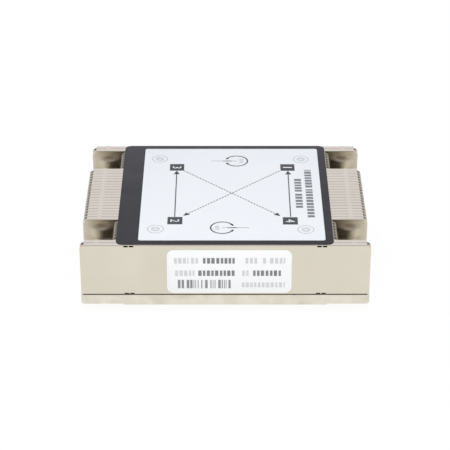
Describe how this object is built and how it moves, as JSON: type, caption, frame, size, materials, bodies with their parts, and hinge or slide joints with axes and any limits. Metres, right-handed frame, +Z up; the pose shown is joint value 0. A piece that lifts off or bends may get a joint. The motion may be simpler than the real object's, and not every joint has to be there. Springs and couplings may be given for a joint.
{
  "type": "passive server cpu heatsink",
  "caption": "Low passive heatsink for a server processor: plated base plate, stack of interlocked folded fins, labelled film on top and captive spring screws in corner pockets.",
  "frame": {"origin": "middle of the contact land under the base, at the centre of the screw pattern", "axes": "+X to the right along the fins, +Y from the front fin to the rear fin, +Z up from the processor through the fins"},
  "size_m": [0.106, 0.0802, 0.0291],
  "materials": {
    "plated_copper": "nickel plate over copper, satin, faintly brushed",
    "plated_aluminium": "nickel plate over rolled aluminium sheet, glossy",
    "dark_film": "matt polyester film",
    "label_paper": "white coated label with plain grey print",
    "screw_steel": "nickel-plated steel",
    "spring_steel": "bright spring wire",
    "clip_steel": "phosphated spring steel"
  },
  "bodies": {
    "base": {"base_plate": "plated_copper", "fin_01": "plated_aluminium", "fin_02": "plated_aluminium", "fin_03": "plated_aluminium", "fin_04": "plated_aluminium", "fin_05": "plated_aluminium", "fin_06": "plated_aluminium", "fin_07": "plated_aluminium", "fin_08": "plated_aluminium", "fin_09": "plated_aluminium", "fin_10": "plated_aluminium", "fin_11": "plated_aluminium", "fin_12": "plated_aluminium", "fin_13": "plated_aluminium", "fin_14": "plated_aluminium", "fin_15": "plated_aluminium", "fin_16": "plated_aluminium", "fin_17": "plated_aluminium", "fin_18": "plated_aluminium", "fin_19": "plated_aluminium", "fin_20": "plated_aluminium", "fin_21": "plated_aluminium", "fin_22": "plated_aluminium", "fin_23": "plated_aluminium", "fin_24": "plated_aluminium", "fin_25": "plated_aluminium", "fin_26": "plated_aluminium", "fin_27": "plated_aluminium", "fin_28": "plated_aluminium", "fin_29": "plated_aluminium", "fin_30": "plated_aluminium", "fin_31": "plated_aluminium", "fin_32": "plated_aluminium", "fin_33": "plated_aluminium", "fin_34": "plated_aluminium", "fin_35": "plated_aluminium", "fin_36": "plated_aluminium", "fin_37": "plated_aluminium", "top_film": "dark_film", "instruction_label": "label_paper", "front_sticker": "label_paper", "spring_1": "spring_steel", "spring_2": "spring_steel", "spring_3": "spring_steel", "spring_4": "spring_steel"},
    "clip_1": {"retaining_clip_1": "clip_steel"},
    "screw_1": {"captive_screw_1": "screw_steel"},
    "clip_2": {"retaining_clip_2": "clip_steel"},
    "screw_2": {"captive_screw_2": "screw_steel"},
    "clip_3": {"retaining_clip_3": "clip_steel"},
    "screw_3": {"captive_screw_3": "screw_steel"},
    "clip_4": {"retaining_clip_4": "clip_steel"},
    "screw_4": {"captive_screw_4": "screw_steel"}
  },
  "joints": [
    {"name": "screw_1_press", "type": "slide", "parent": "base", "child": "clip_1", "axis": [0, 0, 1], "range_m": [-0.0035, 0], "stiffness_N_per_m": 4000, "springref_m": 0.001, "deforming": ["spring_1"]},
    {"name": "screw_1_turn", "type": "hinge", "parent": "clip_1", "child": "screw_1", "pos_m": [-0.047, -0.028, 0], "axis": [0, 0, 1], "continuous": true},
    {"name": "screw_2_press", "type": "slide", "parent": "base", "child": "clip_2", "axis": [0, 0, 1], "range_m": [-0.0035, 0], "stiffness_N_per_m": 4000, "springref_m": 0.001, "deforming": ["spring_2"]},
    {"name": "screw_2_turn", "type": "hinge", "parent": "clip_2", "child": "screw_2", "pos_m": [0.047, -0.028, 0], "axis": [0, 0, 1], "continuous": true},
    {"name": "screw_3_press", "type": "slide", "parent": "base", "child": "clip_3", "axis": [0, 0, 1], "range_m": [-0.0035, 0], "stiffness_N_per_m": 4000, "springref_m": 0.001, "deforming": ["spring_3"]},
    {"name": "screw_3_turn", "type": "hinge", "parent": "clip_3", "child": "screw_3", "pos_m": [0.047, 0.028, 0], "axis": [0, 0, 1], "continuous": true},
    {"name": "screw_4_press", "type": "slide", "parent": "base", "child": "clip_4", "axis": [0, 0, 1], "range_m": [-0.0035, 0], "stiffness_N_per_m": 4000, "springref_m": 0.001, "deforming": ["spring_4"]},
    {"name": "screw_4_turn", "type": "hinge", "parent": "clip_4", "child": "screw_4", "pos_m": [-0.047, 0.028, 0], "axis": [0, 0, 1], "continuous": true}
  ]
}
